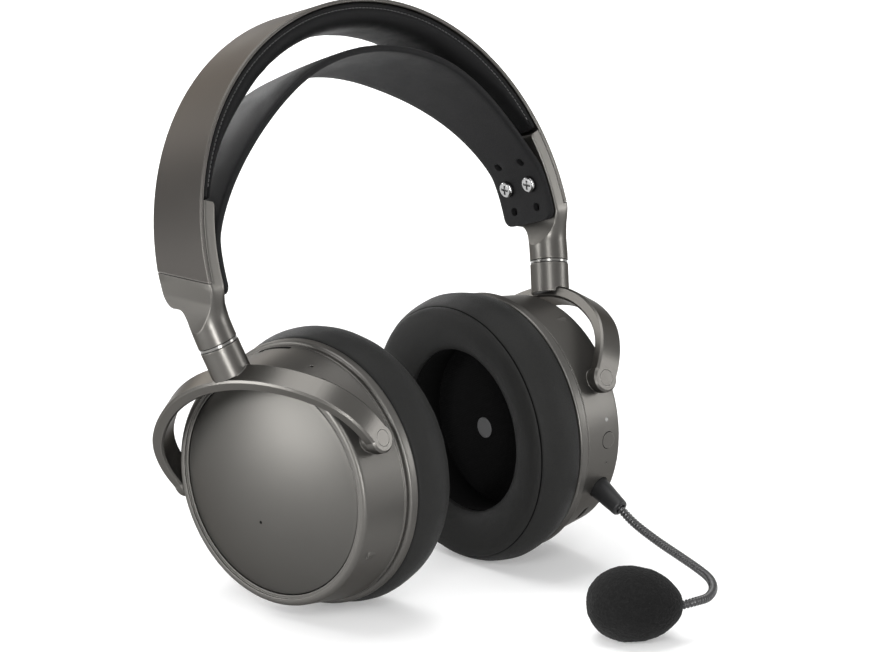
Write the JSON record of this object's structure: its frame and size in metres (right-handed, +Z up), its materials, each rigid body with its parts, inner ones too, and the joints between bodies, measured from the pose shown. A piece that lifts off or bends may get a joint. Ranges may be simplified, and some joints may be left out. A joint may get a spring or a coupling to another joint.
{
  "type": "wireless over-ear headset with boom microphone",
  "caption": "Over-ear headset: steel spring band, suspension strap, swivelling and tilting round cups on arched yokes, and a plug-in gooseneck boom microphone.",
  "frame": {"origin": "on the table the headset stands on, under the middle of its bounding box", "axes": "+Z up, -Y towards the front where the boom points, +X towards the wearer's left"},
  "size_m": [0.1967, 0.1978, 0.2288],
  "materials": {
    "band_steel": "satin",
    "band_liner": "satin",
    "strap": "satin",
    "bright_screw": "polished",
    "cast_metal": "satin",
    "bright_ring": "polished",
    "black_rubber": "satin",
    "light_pipe": "gloss",
    "socket_metal": "satin",
    "black_plastic": "satin",
    "circuit_board": "gloss",
    "battery_foil": "satin",
    "button_metal": "satin",
    "wheel_plastic": "satin",
    "gold_contact": "polished",
    "gooseneck": "satin",
    "foam": "matte",
    "cup_shell": "satin",
    "dome_metal": "satin",
    "ring_trim": "satin",
    "pad_leather": "satin",
    "diaphragm_foil": "polished",
    "magnet_steel": "satin",
    "driver_cloth": "matte",
    "tag_plastic": "satin"
  },
  "bodies": {
    "headband": {"headband_spring": "band_steel", "headband_pad": "band_liner", "suspension_strap": "strap", "strap_screws": "bright_screw", "arm_left": "cast_metal", "arm_right": "cast_metal", "swivel_washers": "bright_ring"},
    "yoke_left": {"yoke_left": "cast_metal", "swivel_shaft_left": "bright_ring", "swivel_grommet_left": "black_rubber", "pivot_pins_left": "cast_metal"},
    "yoke_right": {"yoke_right": "cast_metal", "swivel_shaft_right": "bright_ring", "swivel_grommet_right": "black_rubber", "pivot_pins_right": "cast_metal"},
    "cup_left": {"cup_housing_left": "cup_shell", "dome_cap_left": "dome_metal", "baffle_ring_left": "ring_trim", "baffle_screws_left": "bright_screw", "ear_pad_left": "pad_leather", "driver_frame_left": "black_plastic", "diaphragm_left": "diaphragm_foil", "driver_magnets_left": "magnet_steel", "driver_cloth_left": "driver_cloth", "side_tag_left": "tag_plastic", "vent_screen_left": "black_plastic", "status_light": "light_pipe", "usb_port": "socket_metal", "aux_jack": "black_plastic", "wheel_axles": "bright_ring", "boom_socket": "black_plastic", "main_board": "circuit_board"},
    "cup_right": {"cup_housing_right": "cup_shell", "dome_cap_right": "dome_metal", "baffle_ring_right": "ring_trim", "baffle_screws_right": "bright_screw", "ear_pad_right": "pad_leather", "driver_frame_right": "black_plastic", "diaphragm_right": "diaphragm_foil", "driver_magnets_right": "magnet_steel", "driver_cloth_right": "driver_cloth", "side_tag_right": "tag_plastic", "vent_screen_right": "black_plastic", "battery": "battery_foil"},
    "power_button": {"power_button": "button_metal"},
    "mute_switch": {"mute_switch": "black_plastic"},
    "volume_wheel": {"volume_wheel": "wheel_plastic"},
    "mix_wheel": {"mix_wheel": "wheel_plastic"},
    "boom": {"boom_plug": "gold_contact", "boom_sleeve": "black_rubber", "boom_gooseneck": "gooseneck", "boom_capsule": "black_plastic", "boom_foam": "foam"}
  },
  "joints": [
    {"name": "swivel_left", "type": "hinge", "parent": "headband", "child": "yoke_left", "pos_m": [0.08954, 0.04457, 0.11284], "axis": [0.2429, 0.3078, 0.9199], "range_deg": [-15, 90]},
    {"name": "tilt_left", "type": "hinge", "parent": "yoke_left", "child": "cup_left", "pos_m": [0.06503, 0.03679, 0.06212], "axis": [0.0592, 0.9418, -0.3308], "range_deg": [-5.5, 22.5]},
    {"name": "swivel_right", "type": "hinge", "parent": "headband", "child": "yoke_right", "pos_m": [-0.08918, 0.04413, 0.11153], "axis": [-0.2578, 0.3066, 0.9163], "range_deg": [-90, 15]},
    {"name": "tilt_right", "type": "hinge", "parent": "yoke_right", "child": "cup_right", "pos_m": [-0.06435, 0.037, 0.06088], "axis": [0.1094, -0.933, 0.3429], "range_deg": [-8.5, 19.5]},
    {"name": "power_press", "type": "slide", "parent": "cup_left", "child": "power_button", "axis": [0.0532, 0.9985, 0.0118], "range_m": [0, 0.0008], "stiffness_N_per_m": 1200, "springref_m": -0.0003},
    {"name": "mute_slide", "type": "slide", "parent": "cup_left", "child": "mute_switch", "axis": [0.0093, -0.2987, -0.9543], "range_m": [0, 0.002]},
    {"name": "volume_turn", "type": "hinge", "parent": "cup_left", "child": "volume_wheel", "pos_m": [0.06615, 0.06745, 0.02524], "axis": [0.9982, -0.0535, 0.0265], "continuous": true},
    {"name": "mix_turn", "type": "hinge", "parent": "cup_left", "child": "mix_wheel", "pos_m": [0.06565, 0.05266, 0.01423], "axis": [0.9982, -0.0535, 0.0265], "continuous": true},
    {"name": "boom_unplug", "type": "slide", "parent": "cup_left", "child": "boom", "axis": [-0.0367, -0.9006, -0.4331], "range_m": [0, 0.016]}
  ]
}
